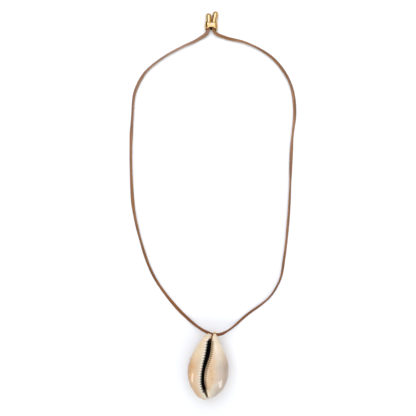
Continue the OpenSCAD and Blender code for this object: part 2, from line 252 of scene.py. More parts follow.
def cord_line():
    """Centre points, rolls and distances along the cord, evenly spaced."""
    route = np.array([list(point) for point in ROUTE], float)
    chords = np.concatenate([[0], np.cumsum(np.linalg.norm(np.diff(route, axis=0), axis=1))])
    points = through(chords, route, np.linspace(0, chords[-1], 6000))
    run = np.concatenate([[0], np.cumsum(np.linalg.norm(np.diff(points, axis=0), axis=1))])
    along = np.arange(0, run[-1], CORD_STEP)
    line = np.stack([np.interp(along, run, points[:, k]) for k in range(3)], -1)
    table = np.array(ROLLS, float)
    return line, np.radians(through(table[:, 0], table[:, 1], along)), along


def cord_section(along, free):
    """The folded strip's outline before its roll: across, up, how deep in a fold and in a stitch."""
    a = np.linspace(0, 2 * math.pi, CORD_SIDES, endpoint=False)[None, :]
    s = along[:, None]
    free = free[:, None]
    c, n = np.cos(a), np.sin(a)
    width = (HELD_W + (FREE_W - HELD_W) * free) / 2
    width = width * (1 + free * (0.03 * np.sin(s / 9.3) + 0.02 * np.sin(s / 3.1 + 1)))
    across = width * np.sign(c) * np.abs(c) ** STRIP_ROUND
    up = STRIP_T / 2 * np.sign(n) * np.abs(n) ** STRIP_ROUND
    # Two folds run along the upper side and one along the lower, and all wander a little
    wander = 0.12 * np.sin(s / 13 + 0.7) + 0.06 * np.sin(s / 4.7)
    first = bump_at(across, -0.42 + wander, 0.17) * (n > 0)
    second = bump_at(across, 0.38 + wander, 0.13) * (n > 0)
    lower = bump_at(across, 0.05 - wander, 0.16) * (n < 0)
    fold = first + 0.6 * second + lower
    up = up * (1 - 0.3 * fold)
    seam_s, seam_at, seam_strong = np.array(SEAM).T
    seam = np.interp(along, seam_s, seam_at)[:, None]
    strong = np.interp(along, seam_s, seam_strong)[:, None]
    row = bump_at(across / (CORD_W / 2), seam, 0.3 + 0.2 * strong) * (n > -0.3) * strong
    beat = (1 + np.cos(2 * math.pi * s / STITCH)) / 2
    stitch = row * smooth_step(0.4, 0.7, beat)
    dent = 1 - 0.1 * stitch
    return across * dent, up * dent, fold, stitch


def make_cord():
    """The silk strip, swept along the part's route with its rolls."""
    line, rolls, along = cord_line()
    ahead = unit(np.gradient(line, axis=0))
    side = unit(np.cross([0, 0, 1], ahead))
    up = np.cross(ahead, side)
    held = np.array([CAP_LEFT, BEAD_AT, CAP_RIGHT, by_bail(0, 0, 0)])
    near = np.linalg.norm(line[:, None] - held, axis=2).min(axis=1)
    across, high, fold, stitch = cord_section(along, smooth_step(GATHER / 2, GATHER, near))
    c, s = np.cos(rolls)[:, None], np.sin(rolls)[:, None]
    turned_across = across * c - high * s
    turned_up = across * s + high * c
    # Where the part's tube lies on the surface, the strip lies on it too
    lying = 1 - smooth_step(*LEAVES_FLOOR, line[:, Z])
    lowest = -turned_up.min(axis=1)
    line[:, Z] = line[:, Z] * (1 - lying) + lowest * lying
    line[:, Z] = np.maximum(line[:, Z], lowest)
    rings = line[:, None] + side[:, None] * turned_across[..., None] + up[:, None] * turned_up[..., None]
    count, sides = across.shape
    values = {
        "along": np.broadcast_to(along[:, None], across.shape),
        "across": across / (CORD_W / 2),
        "fold": fold,
        "stitch": stitch,
    }
    piece = make_mesh("silk_cord", rings * MM, grid_faces(count, sides) + end_faces(count, sides), values)
    hand_over(piece, "cord")
    return piece


cord = make_cord()

# Shell

# Sections of the part's shell: share of the length, left, right, rim, crest, back, slit,
# slit's width, opening, roll
SECTIONS = np.array([
    [0.000, 0.15, 0.18, 0.70, 0.80, 0.54, 0.09, 0.17, 0.00, 0.12],
    [0.012, 0.20, 0.27, 0.70, 0.81, 0.53, 0.08, 0.17, 0.00, 0.15],
    [0.030, 0.27, 0.34, 0.70, 0.83, 0.50, 0.05, 0.21, 0.00, 0.20],
    [0.060, 0.35, 0.41, 0.70, 0.85, 0.46, 0.01, 0.50, 0.00, 0.30],
    [0.100, 0.43, 0.46, 0.70, 0.87, 0.41, -0.02, 0.84, 0.10, 0.40],
    [0.160, 0.56, 0.56, 0.69, 0.90, 0.33, -0.03, 0.92, 0.35, 0.50],
    [0.240, 0.70, 0.71, 0.68, 0.93, 0.22, -0.05, 1.00, 0.80, 0.65],
    [0.330, 0.82, 0.85, 0.67, 0.96, 0.12, -0.09, 0.98, 1.00, 0.85],
    [0.430, 0.92, 0.95, 0.66, 0.98, 0.05, -0.16, 0.84, 1.00, 1.00],
    [0.550, 0.98, 1.00, 0.66, 1.00, 0.00, -0.22, 0.65, 1.00, 1.00],
    [0.650, 0.97, 0.99, 0.66, 1.00, 0.01, -0.23, 0.66, 1.00, 0.90],
    [0.750, 0.89, 0.91, 0.67, 0.98, 0.06, -0.19, 0.73, 1.00, 0.85],
    [0.840, 0.75, 0.77, 0.68, 0.94, 0.17, -0.10, 0.69, 0.85, 0.70],
    [0.910, 0.58, 0.56, 0.70, 0.90, 0.30, -0.01, 0.42, 0.40, 0.45],
    [0.960, 0.44, 0.39, 0.71, 0.86, 0.43, 0.05, 0.21, 0.05, 0.28],
    [0.985, 0.31, 0.28, 0.71, 0.83, 0.52, 0.06, 0.18, 0.00, 0.16],
    [1.000, 0.20, 0.22, 0.71, 0.80, 0.58, 0.06, 0.18, 0.00, 0.12],
])
# The column of the backs in that table
BACK = 5
TEETH = 20
TOOTH_FROM = 0.085
TOOTH_TO = 0.885
# Shares of the length over which the teeth start and fade out, on both lips and on the inner one
TEETH_START = (TOOTH_FROM - 0.02, TOOTH_FROM + 0.02)
TEETH_FADE = (0.86, 0.9)
INNER_FADE = (0.48, 0.72)
INNER_FINER = 4 / 3
TOOTH_DEPTH = 0.6
BASE_POWER = 2.3
BACK_POWER = 2.15
WALL = 1.7
LIP_DEPTH = 3.2
LIP_ROUND = 1.3
SLIT_W = 3.1
CANAL_R = 1
CANAL_SIDE = 0.3
# How far the back draws in under each end, and how far along that reaches
FRONT_DROP = 5.5
REAR_DROP = 3
DROP_REACH = 0.25
# Notch between the lobes at each end, and the reach of the inner lip's lobes
NOTCH_DEPTH = 0.7
NOTCH_HALF = 1.2
FRONT_LOBE = 0.6
REAR_LOBE = 0.9
END_REACH = 0.08
# The rounded edge at each end, and how nearly its last loop closes the wall
END_ROUND = 0.45
END_SHUT = 0.98
END_STEPS = 5
LIP_STEPS = 9
BASE_STEPS = 24
BACK_STEPS = 44
# Half the width of the brown band along the inner lip, in millimetres, at shares of the length
BROWN_BAND = [
    (0.05, 0.7), (0.11, 1.8), (0.18, 1.7), (0.26, 1.45), (0.39, 1.1), (0.55, 1.15), (0.7, 1.75),
    (0.83, 1.05), (0.9, 0.7),
]


def dome(x, half, high, power):
    """The height over x of an arch that is half wide on each side."""
    return high * np.maximum(0, 1 - (np.abs(x) / half) ** power) ** (1 / power)


def polar(a, half, high, power):
    """The radius of a superellipse at an angle."""
    return ((np.abs(np.cos(a)) / half) ** power + (np.abs(np.sin(a)) / high) ** power) ** (-1 / power)


def drawn_in(v, x, sine, slit):
    """How far a point is drawn in from the two ends of the shell."""
    front = np.maximum(0, 1 - v / DROP_REACH) ** 2
    rear = np.maximum(0, 1 - (1 - v) / DROP_REACH) ** 2
    front_tip = np.maximum(0, 1 - v / END_REACH)
    rear_tip = np.maximum(0, 1 - (1 - v) / END_REACH)
    off = (x - slit) / NOTCH_HALF
    notch = NOTCH_DEPTH * np.exp(-off * off) * (1 + sine) / 2
    under = np.maximum(0, -sine) ** 1.1
    lobes = (FRONT_LOBE * front_tip * (1 + sine) / 2 + REAR_LOBE * rear_tip) * np.clip(off, 0, 1)
    return (rear * REAR_DROP - front * FRONT_DROP) * under + notch * (rear_tip - front_tip) + lobes


def sweep(left_a, right_a, first, steps):
    """Angles round every section from the outer lip over the back to the inner lip."""
    left = left_a + (np.pi - left_a) * np.arange(first, steps) / steps
    back = np.pi + np.pi * np.arange(BACK_STEPS + 1) / BACK_STEPS + 0 * left_a
    right = 2 * np.pi + right_a * np.arange(1, steps - first + 1) / steps
    return np.concatenate([left, back, right], axis=1)


def shell_stations():
    """Shares of the shell's length at which it has a ring, closest along the teeth."""
    teeth = np.linspace(TOOTH_FROM, TOOTH_TO, TEETH * 11 + 1)
    front = TOOTH_FROM * np.linspace(0, 1, 25)[:-1] ** 1.3
    rear = 1 - (1 - TOOTH_TO) * np.linspace(1, 0, 31)[1:] ** 1.3
    return np.concatenate([front, teeth, rear])[:, None]


class ShellSizes:
    """Sizes of the shell's sections at shares v of its length, in millimetres."""

    def __init__(self, v):
        shares = through(SECTIONS[:, 0], SECTIONS[:, 1:], v[:, 0])[:, None, :]
        left, right, rim, crest, back, slit, slit_w, self.grow, self.roll = np.moveaxis(shares, 2, 0)
        self.left = left * SHELL_W / 2
        self.right = right * SHELL_W / 2
        self.mid = slit * SHELL_W / 2
        self.half_slit = slit_w * SLIT_W / 2
        self.high = (crest - rim) * SHELL_H
        self.low = (rim - back) * SHELL_H
        self.rim = rim * SHELL_H

    def half(self, x):
        """Half the section's width on the side of x."""
        return np.where(x < 0, self.left, self.right)


def tooth_wave(v, finer):
    """0 on a tooth's ridge, 1 in a groove."""
    turns = (v - TOOTH_FROM) / (TOOTH_TO - TOOTH_FROM) * TEETH * finer
    return ((1 - np.cos(2 * np.pi * turns)) / 2) ** 1.3


class Teeth:
    """Where along v both lips are toothed, and the waves of their teeth."""

    def __init__(self, v):
        self.there = smooth_step(*TEETH_START, v) * (1 - smooth_step(*TEETH_FADE, v))
        self.inner_there = self.there * (1 - smooth_step(*INNER_FADE, v))
        self.left = tooth_wave(v, 1) * self.there
        self.right = tooth_wave(v, INNER_FINER) * self.inner_there


def shell_skin(v, a, size, middle, left, right, high, low):
    """Places on a skin at polar angles, in the shell's own frame, and how far up or down each is."""
    upper = polar(a, np.where(np.cos(a) < 0, left, right), high, BASE_POWER)
    lower = polar(a, np.where(np.cos(a) < 0, left, right), low, BACK_POWER)
    r = np.where(np.sin(a) >= 0, upper, lower)
    x = middle + r * np.cos(a)
    z = r * np.sin(a)
    sine = np.where(z < 0, z / size.low, np.sin(a))
    return np.stack([x, drawn_in(v, x, sine, size.mid) - SHELL_LEN * v, size.rim + z], -1), sine


def shell_lip(v, size, side, x, z, wide, cut):
    """Points of a lip from the slit's edge up to its crest, and how far each is turned in."""
    b = np.pi / 2 * (1 - np.arange(LIP_STEPS) / LIP_STEPS)[None, :]
    deep = np.minimum(LIP_DEPTH, size.high) * 0.5
    reach = cut * (0.12 + 0.88 * np.sin(b) ** 1.2)
    lip_x = x - side * (wide - reach) * np.sin(b)
    lip_y = drawn_in(v, lip_x, 1, size.mid) - SHELL_LEN * v
    lip_z = size.rim + z - deep * (1 - np.cos(b)) - reach * np.cos(b)
    return np.stack([lip_x, lip_y, lip_z], -1), np.sin(b) + 0 * lip_x


def shell_outside(v, size, teeth):
    """Rings from the slit's left edge round the shell to its right edge, their sines and turns."""
    round_l = LIP_ROUND * (0.4 + 0.6 * np.clip(v / TOOTH_FROM, 0, 1))
    round_r = LIP_DEPTH * size.roll
    x_l = size.mid - size.half_slit - round_l
    x_r = size.mid + size.half_slit + round_r
    z_l = dome(x_l, size.left, size.high, BASE_POWER)
    z_r = dome(x_r, size.half(x_r), size.high, BASE_POWER)
    lip_l, turned_l = shell_lip(v, size, -1, x_l, z_l, round_l, TOOTH_DEPTH * teeth.left)
    lip_r, turned_r = shell_lip(v, size, 1, x_r, z_r, round_r, TOOTH_DEPTH * teeth.right)
    around = sweep(np.arctan2(z_l, x_l), np.arctan2(z_r, x_r), 1, BASE_STEPS)
    skin, sine = shell_skin(v, around, size, 0, size.left, size.right, size.high, size.low)
    # Each tooth runs on as a low ridge over the base and fades out
    for wave, from_lip, reach in (
        (teeth.left, x_l - skin[..., X], 2.2),
        (teeth.right, skin[..., X] - x_r, 1.2),
    ):
        near = np.clip(1 - from_lip / reach, 0, 1) * (from_lip >= 0) * (sine > 0)
        skin[..., Z] -= 0.16 * TOOTH_DEPTH * wave * near
    rings = np.concatenate([lip_l, skin, lip_r[:, ::-1]], axis=1)
    sines = np.concatenate([0 * turned_l + 1, sine, 0 * turned_r + 1], axis=1)
    turned_right = np.concatenate([0 * turned_l, 0 * sine, turned_r[:, ::-1]], axis=1)
    return rings, sines, turned_right


def shell_inside(v, size):
    """Rings of the inner skin, which narrows to a canal at each end of the slit."""
    room = np.maximum(CANAL_R, size.half_slit + CANAL_SIDE)
    middle = size.mid * (1 - size.grow)
    left = room + (size.left - WALL - room) * size.grow
    right = room + (size.right - WALL - room) * size.grow
    high = CANAL_R + (size.high - LIP_DEPTH - CANAL_R) * size.grow
    low = CANAL_R + (size.low - WALL - CANAL_R) * size.grow
    x_l = size.mid - size.half_slit - middle
    x_r = size.mid + size.half_slit - middle
    z_l = dome(x_l, left, high, BASE_POWER)
    z_r = dome(x_r, np.where(x_r < 0, left, right), high, BASE_POWER)
    around = sweep(np.arctan2(z_l, x_l), np.arctan2(z_r, x_r), 0, BASE_STEPS + LIP_STEPS - 1)
    return shell_skin(v, around[:, ::-1], size, middle, left, right, high, low)[0]


def shell_marks(v, size, teeth, rings, sines, hollow):
    """Where the material lays its colours, from 0 to 1 at each point."""
    x = rings[..., X]
    share = x / size.half(x)
    from_left = size.mid - size.half_slit - x
    from_right = x - size.mid - size.half_slit
    on_base = (sines > 0) * (1 - hollow)
    by_left = (from_left > -0.8) * on_base
    by_right = (from_right > -0.8) * on_base
    ribs_l = by_left * (1 - smooth_step(0.9, 2.9, from_left))
    ribs_r = by_right * (1 - smooth_step(0.9, 2.7, from_right))
    ridge = teeth.there - teeth.left
    comb_dark = smooth_step(0.1, 0.6, teeth.right)
    comb_pale = np.maximum(0, teeth.inner_there - comb_dark)
    band = np.interp(v, *np.array(BROWN_BAND).T)
    tip = 1 - smooth_step(0.05, 0.1, v)
    edge = 0.7 + 0.2 * np.exp((0.13 - share) / 0.1)
    edge = edge + 0.006 * np.sin(23 * share) + 0.004 * np.sin(51 * share)
    callus = smooth_step(-0.035, 0.035, v - edge) * smooth_step(0.04, 0.12, share)
    return {
        "v": v + 0 * share,
        "share": share,
        "under": smooth_step(0.02, 0.5, -sines) * (1 - hollow),
        "hollow": hollow,
        "groove": teeth.left * ribs_l,
        "ridge": ridge * ribs_l,
        "tooth_tip": ridge * by_left * (1 - smooth_step(0.2, 0.9, from_left)),
        # Painted shade: the slit's dark laid into the gaps between the outer lip's teeth near its edge
        "notch": np.minimum(1, 1.9 * teeth.left) * by_left * (1 - smooth_step(0.5, 1.35, from_left)),
        "tip_brown": tip * bump_at(x, size.mid - 0.5, 1.3) * on_base,
        "comb_tip": comb_pale * by_right * (1 - smooth_step(0.2, 1.1, from_right)),
        "comb_dark": comb_dark * ribs_r,
        "comb_pale": comb_pale * ribs_r,
        "left_lip": np.exp(-np.maximum(0, from_left) / 1.6) * by_left,
        "right_lip": (1 - smooth_step(0.3 * band, 1.7 * band, from_right)) * by_right,
        "callus": callus * smooth_step(1, 0.72, share) * by_right,
        "bright_rim": bump_at(from_right, 1.2, 0.7) * smooth_step(0.79, 0.86, v) * by_right,
    }


def shell_shape():
    """Rings of points and the marks that the shell's material reads."""
    v = shell_stations()
    size = ShellSizes(v)
    teeth = Teeth(v)
    outside, sines, turned_right = shell_outside(v, size, teeth)
    inside = shell_inside(v, size)
    rings = np.concatenate([outside, inside], axis=1)
    beyond = ((0, 0), (0, inside.shape[1]))
    hollow = np.pad(0 * sines, beyond, constant_values=1)
    sines = np.pad(sines, beyond, constant_values=1)
    marks = shell_marks(v, size, teeth, rings, sines, hollow)
    marks["turned_right"] = np.pad(turned_right, beyond)
    rings[..., Z] -= SECTIONS[:, BACK].min() * SHELL_H
    return rings, marks


def round_ends(rings, marks):
    """Closes each end of the shell with a rounded edge between its outer and its inner skin."""
    front, rear = [], []
    for k in range(1, END_STEPS + 1):
        a = np.pi / 2 * k / END_STEPS
        for made, ring, ahead in ((front, rings[0], 1), (rear, rings[-1], -1)):
            middle = (ring + ring[::-1]) / 2
            moved = ring + (middle - ring) * (1 - math.cos(a)) * END_SHUT
            moved[:, Y] += ahead * END_ROUND * math.sin(a)
            made.append(moved)
    rings = np.concatenate([front[::-1], rings, rear])
    beyond = ((END_STEPS, END_STEPS), (0, 0))
    return rings, {key: np.pad(value, beyond, mode="edge") for key, value in marks.items()}


def make_shell():
    """The shell's skins as one closed surface, with its ends sewn across the slit."""
    rings, marks = round_ends(*shell_shape())
    count, sides = rings.shape[:2]
    faces = grid_faces(count, sides)
    last = (count - 1) * sides
    for j in range(sides // 2 - 1):
        faces.append([j, sides - 1 - j, sides - 2 - j, j + 1])
        faces.append([last + j, last + j + 1, last + sides - 2 - j, last + sides - 1 - j])
    piece = make_mesh("cowrie", shell_to_row(rings) * MM, faces, marks)
    return hand_over(piece, "cowrie_shell")


shell = make_shell()

# Gold


def lathe(profile, axis_at, axis, sides=96):
    """Points and faces of a profile of (radius, height) turned round an axis."""
    profile = np.asarray(profile, float)
    axis = unit(np.asarray(axis, float))
    side = unit(np.cross(axis, [0, 0, 1] if abs(axis[Z]) < 0.9 else [1, 0, 0]))
    other = np.cross(axis, side)
    a = np.linspace(0, 2 * np.pi, sides, endpoint=False)
    round_it = np.cos(a)[:, None] * side + np.sin(a)[:, None] * other
    up_it = np.asarray(axis_at, float) + profile[:, None, 1:] * axis
    points = up_it + profile[:, None, :1] * round_it[None]
    return points, grid_faces(len(profile), sides) + end_faces(len(profile), sides)


def arc(middle, radius, start, end, steps):
    """Points of an arc in degrees, its two ends among them."""
    a = np.radians(np.linspace(start, end, steps))
    return np.stack([middle[0] + radius * np.cos(a), middle[1] + radius * np.sin(a)], -1).tolist()


# A radius that closes a turned profile without a point on its axis
CLOSED = 0.001
CAP_CORNER = 0.15
CAP_FOOT = 0.15
CAP_SWELL = 0.05
CAP_ROLL_AT = 0.125


def make_cap(name, node, foot, lean):
    """A bullet-shaped cap, its open foot rolled over and its sides swelling towards the rounded top."""
    foot_r = SOCKET_R + CAP_WALL
    barrel = CAP_LEN - CAP_R
    up = np.linspace(0, 1, 24)[1:-1]
    side_r = foot_r + (CAP_R - foot_r) * up + CAP_SWELL * np.sin(np.pi * up)
    side_y = CAP_FOOT + (barrel - CAP_FOOT) * up
    profile = (
        [(CLOSED, CAP_SOCKET), (0.6 * SOCKET_R, CAP_SOCKET)]
        + arc((SOCKET_R - CAP_CORNER, CAP_SOCKET - CAP_CORNER), CAP_CORNER, 90, 0, 4)
        + [(SOCKET_R, CAP_SOCKET / 2)]
        + arc((SOCKET_R + CAP_WALL / 2, CAP_ROLL_AT), CAP_WALL / 2, 180, 360, 9)
        + list(zip(side_r, side_y))
        + arc((0, barrel), CAP_R, 0, 89.9, 26)
    )
    points, faces = lathe(profile, foot, cap_axis(lean))
    piece = make_mesh(name, points * MM, faces)
    return hand_over(piece, node)


# The slot that grips the strands, along the bead, and how far it stays off the pocket and the strands
SLOT_FROM = -1.9
SLOT_TO = -0.1
SLOT_FLARE = 0.4
SLOT_SIDE = 0.15
SLOT_OVER = 2 * GAP
SLOT_POWER = 5
# Loops this close to the slot's ends keep its edges crisp
CRISP = 0.1
# The painted shade on the bead's inside fades out from here to the upper mouth
PAINTED_SHADE_TO = 1.8


def bead_mouth(sign):
    """Loops over a mouth's rounded rim, from the outer skin to the inner one."""
    rim = BEAD_WALL / 2
    loops = []
    for k in range(1, 8):
        a = math.pi * k / 8
        inward = rim * (1 - math.cos(a))
        y = sign * (BEAD_LEN / 2 - rim + rim * math.sin(a))
        loops.append((y, MOUTH_W / 2 - inward, MOUTH_T / 2 - inward, BEAD_POWER))
    return loops


def bead_loops():
    """Loops down the outer skin, up the inside that is painted dark as shade, and on to the upper mouth,
    with their outlines.
    """
    end = BEAD_LEN / 2 - BEAD_WALL / 2
    outer = []
    for u in np.linspace(1, -1, 33):
        crown = 1 - u * u
        half = (MOUTH_W + (BEAD_W - MOUTH_W) * crown) / 2
        high = (MOUTH_T + (BEAD_T - MOUTH_T) * crown) / 2
        outer.append((u * end, half, high, BEAD_POWER))
    outer += bead_mouth(-1)
    pocket = (MOUTH_W / 2 - BEAD_WALL, MOUTH_T / 2 - BEAD_WALL, BEAD_POWER)
    slot = (pocket[0] - SLOT_SIDE, TUBE_T / 2 + SLOT_OVER, SLOT_POWER)
    lower, upper = SLOT_FROM - SLOT_FLARE, SLOT_TO + SLOT_FLARE
    dark = [(y, *pocket) for y in (-end, lower - CRISP, lower)]
    dark += [(y, *slot) for y in (SLOT_FROM, SLOT_FROM + CRISP, SLOT_TO - CRISP, SLOT_TO)]
    dark += [(y, *pocket) for y in (upper, upper + CRISP, PAINTED_SHADE_TO)]
    return outer, dark, [(end, *pocket)] + bead_mouth(1)[::-1]


def make_bead():
    """An oval barrel with scooped mouths and rounded rims, and the slot inside for the strands."""
    outer, dark, rest = bead_loops()
    a = np.linspace(0, 2 * np.pi, 112, endpoint=False)
    rings = []
    for y, half, high, power in outer + dark + rest:
        r = polar(a, half, high, power)
        x, z = r * np.cos(a), r * np.sin(a)
        reach = 2 * y / BEAD_LEN
        deep = np.where(reach > 0, SCOOP_REAR, np.where(z > 0, SCOOP_TOP, SCOOP_BOTTOM))
        scoop = deep * reach * abs(reach) * (1 - (x / half) ** 2)
        rings.append(np.stack([x, y - scoop, z], -1))
    rings = np.array(rings)
    # Painted shade: 1 on the loops of the inside, which the gold material paints dark brown
    inner = np.zeros(rings.shape[:2])
    inner[len(outer):len(outer) + len(dark)] = 1
    faces = grid_faces(len(rings), rings.shape[1], closed_rings=True)
    piece = make_mesh("gold_bead", (rings + BEAD_AT) * MM, faces, {"inner": inner})
    return hand_over(piece, "slide_bead")


BAIL_CROWN = 0.15
BAIL_EDGE = 0.16
BORE_EDGE = 0.1
PEG_TIP = 0.2
PEG_FILLET = 0.45
FILLET_LEN = 0.55
FILLET_SUNK = 0.08


def make_bail():
    """A crowned band round the cord, with a peg down into the shell and a fillet between them."""
    out = SOCKET_R + BAIL_WALL
    edge_r, edge_x = out - BAIL_EDGE, BAIL_W / 2 - BAIL_EDGE
    bore_r, bore_x = SOCKET_R + BORE_EDGE, BAIL_W / 2 - BORE_EDGE
    band = (
        arc((edge_r, -edge_x), BAIL_EDGE, -90, 0, 6)[:-1]
        + [(out + BAIL_CROWN * (1 - u * u), u * edge_x) for u in np.linspace(-1, 1, 21)]
        + arc((edge_r, edge_x), BAIL_EDGE, 0, 90, 6)[1:]
        + arc((bore_r, bore_x), BORE_EDGE, 90, 180, 5)
        + arc((bore_r, -bore_x), BORE_EDGE, 180, 270, 5)
    )
    side = shell_to_row(np.array([1.0, 0, 0])) - TIP
    into = shell_to_row(np.array([0, -1.0, 0])) - TIP
    at = by_bail(0, 0, 0)
    points, _ = lathe(band, at, side)
    count, sides = points.shape[:2]
    faces = grid_faces(count, sides, closed_rings=True)
    start = out - FILLET_SUNK
    tail = PEG_TO - BAIL_IN
    peg = (
        [(PEG_R + PEG_FILLET * (1 - t) ** 2, start + FILLET_LEN * t) for t in np.linspace(0, 1, 8)]
        + [(PEG_R, tail - PEG_TIP - 0.05)]
        + arc((PEG_R - PEG_TIP, tail - PEG_TIP), PEG_TIP, 0, 90, 5)
        + [(CLOSED, tail)]
    )
    peg_points, peg_faces = lathe(peg, at, into, 48)
    points = np.concatenate([points.reshape(-1, 3), peg_points.reshape(-1, 3)])
    faces += [[k + count * sides for k in face] for face in peg_faces]
    piece = make_mesh("gold_bail", points * MM, faces)
    return hand_over(piece, "bail")


bead = make_bead()
bail = make_bail()
cap_left = make_cap("gold_cap_left", "end_cap_left", CAP_LEFT, CAP_LEFT_LEAN)
cap_right = make_cap("gold_cap_right", "end_cap_right", CAP_RIGHT, CAP_RIGHT_LEAN)

# Materials


def linear(rgb):
    """A display colour from 0 to 255 as linear light."""
    values = [c / 255 for c in rgb]
    return [c / 12.92 if c <= 0.04045 else ((c + 0.055) / 1.055) ** 2.4 for c in values] + [1]


class Nodes:
    """A tree of nodes, each made with its inputs linked or set."""

    def __init__(self, tree):
        self.tree = tree

    def node(self, kind, inputs=None, **settings):
        made = self.tree.nodes.new(kind)
        for key, value in settings.items():
            setattr(made, key, value)
        for key, value in (inputs or {}).items():
            self.put(made.inputs[key], value)
        return made

    def put(self, socket, value):
        if isinstance(value, bpy.types.NodeSocket):
            self.tree.links.new(value, socket)
        else:
            socket.default_value = value

    def math(self, operation, a, b=0.0):
        return self.node("ShaderNodeMath", {0: a, 1: b}, operation=operation).outputs[0]

    def times(self, a, b):
        return self.math("MULTIPLY", a, b)

    def vector(self, operation, a, b, output="Vector"):
        return self.node("ShaderNodeVectorMath", {0: a, 1: b}, operation=operation).outputs[output]

    def fit(self, value, low, high, to_low=0.0, to_high=1.0, smooth=True):
        kind = "SMOOTHSTEP" if smooth else "LINEAR"
        inputs = {0: value, 1: low, 2: high, 3: to_low, 4: to_high}
        return self.node("ShaderNodeMapRange", inputs, interpolation_type=kind).outputs[0]

    def light_ramp(self, value, stops):
        """Colours in linear light between stops of a place and a colour."""
        made = self.node("ShaderNodeValToRGB", {"Fac": value})
        elements = made.color_ramp.elements
        while len(elements) < len(stops):
            elements.new(0.5)
        for element, (at, colour) in zip(elements, stops):
            element.position = at
            element.color = colour
        return made.outputs["Color"]


class Recipe(Nodes):
    """A material and the nodes before its shader."""

    def __init__(self, name):
        self.material = bpy.data.materials.new(name)
        self.material.use_nodes = True
        super().__init__(self.material.node_tree)
        self.shader = self.tree.nodes["Principled BSDF"]

    def mark(self, name):
        return self.node("ShaderNodeAttribute", attribute_name=name).outputs["Fac"]

    def place(self):
        return self.node("ShaderNodeTexCoord").outputs["Object"]

    def join(self, x, y=0.0, z=0.0):
        return self.node("ShaderNodeCombineXYZ", {0: x, 1: y, 2: z}).outputs[0]

    def scaled(self, vector, scale):
        return self.node("ShaderNodeMapping", {"Vector": vector, "Scale": scale}).outputs[0]

    def noise(self, vector, scale, detail=2.0, roughness=0.5):
        inputs = {"Vector": vector, "Scale": scale, "Detail": detail, "Roughness": roughness}
        return self.node("ShaderNodeTexNoise", inputs).outputs["Fac"]

    def ramp(self, value, *stops):
        """Display colours between stops of a place and a colour."""
        return self.light_ramp(value, [(at, linear(rgb)) for at, rgb in stops])

    def mix(self, share, a, b, blend="MIX"):
        made = self.node("ShaderNodeMix", data_type="RGBA", blend_type=blend)
        self.put(made.inputs[0], share)
        self.put(made.inputs[6], linear(a) if isinstance(a, tuple) else a)
        self.put(made.inputs[7], linear(b) if isinstance(b, tuple) else b)
        return made.outputs[2]

    def over(self, base, share, strength, colour):
        """The colour laid over the base, as strongly as told where share is 1."""
        return self.mix(self.times(share, strength), base, colour)

    def tone(self, base, value, low, high, darkest, brightest):
        """The base made darker or brighter where value lies between low and high."""
        factor = self.fit(value, low, high, darkest, brightest, smooth=False)
        return self.mix(1.0, base, factor, "MULTIPLY")

    def bump(self, height, distance, strength=1.0, under=None):
        inputs = {"Height": height, "Distance": distance, "Strength": strength}
        if under is not None:
            inputs["Normal"] = under
        return self.node("ShaderNodeBump", inputs).outputs["Normal"]

    def shade(self, **inputs):
        for key, value in inputs.items():
            self.put(self.shader.inputs[key.replace("_", " ")], value)

    def give(self, *pieces):
        for piece in pieces:
            piece.data.materials.clear()
            piece.data.materials.append(self.material)


# Tints of the glaze: the shares across and along between which each sets in, its strength and colour.
# Pale towards the narrow end and at the left's rear, cream on the right, rosy grey at the right's middle.
TINTS = [
    ((-0.3, -0.7), (0.5, 0.25), 0.85, (240, 222, 190)),
    ((-0.1, -0.4), (0.6, 0.85), 0.25, (232, 214, 188)),
    ((0.15, 0.5), (0.5, 0.2), 0.85, (240, 226, 200)),
    ((0.25, 0.65), (0.35, 0.6), 0.45, (200, 182, 168)),
]
# Marks painted on the lips in this order, each with its strength and colour; the notch's near black is
# painted shade, the slit's dark between the outer lip's teeth
PAINTED = [
    ("comb_pale", 0.8, (255, 218, 166)), ("comb_tip", 1, (255, 226, 178)),
    ("comb_dark", 1, (56, 30, 12)), ("bright_rim", 0.8, (255, 244, 222)),
    ("ridge", 0.5, (255, 250, 234)), ("groove", 0.42, (154, 124, 94)),
    ("tooth_tip", 0.8, (255, 253, 244)), ("notch", 1, (28, 18, 12)),
    ("tip_brown", 0.65, (200, 162, 120)),
]


def shell_base(made, v, share, place, cloud):
    """The glaze on the side of the slit: tones across the shell, a callus and a patchy streak."""
    across = made.math("ADD", made.times(share, 0.5), 0.5)
    across = made.math("ADD", across, made.fit(cloud, 0.3, 0.7, -0.03, 0.03, smooth=False))
    base = made.ramp(
        across,
        (0.0, (190, 142, 98)), (0.07, (220, 177, 128)), (0.2, (221, 189, 152)), (0.3, (216, 197, 172)),
        (0.38, (218, 211, 191)), (0.53, (218, 186, 144)), (0.62, (220, 192, 156)), (0.75, (208, 192, 175)),
        (0.89, (194, 176, 159)), (0.975, (184, 158, 133)), (1.0, (150, 117, 88)),
    )
    for share_in, v_in, strength, colour in TINTS:
        here = made.times(made.fit(share, *share_in), made.fit(v, *v_in))
        base = made.over(base, here, strength, colour)
    # A pale green-cream callus at the broad end on the right
    inward = made.math("SUBTRACT", share, made.fit(v, 0.8, 0.95, 0.0, 0.3))
    callus = made.ramp(inward, (0.15, (232, 226, 206)), (0.35, (220, 211, 192)), (0.6, (202, 190, 172)))
    base = made.over(base, made.mark("callus"), 0.75, callus)
    # A patchy tan streak beside the slit's lower half
    bend = made.fit(v, 0.5, 0.8, 0.14, 0.3, smooth=False)
    wander = made.fit(made.noise(place, 300, 3), 0.3, 0.7, -0.05, 0.05, smooth=False)
    away = made.math("ABSOLUTE", made.math("ADD", made.math("SUBTRACT", share, bend), wander))
    streak = made.times(made.fit(v, 0.34, 0.46), made.fit(v, 0.78, 0.66))
    streak = made.times(streak, made.fit(made.times(away, -1), -0.11, 0.0))
    streak = made.times(streak, made.fit(made.noise(place, 520, 4, 0.6), 0.35, 0.65))
    return made.over(base, streak, 0.6, (194, 146, 98))


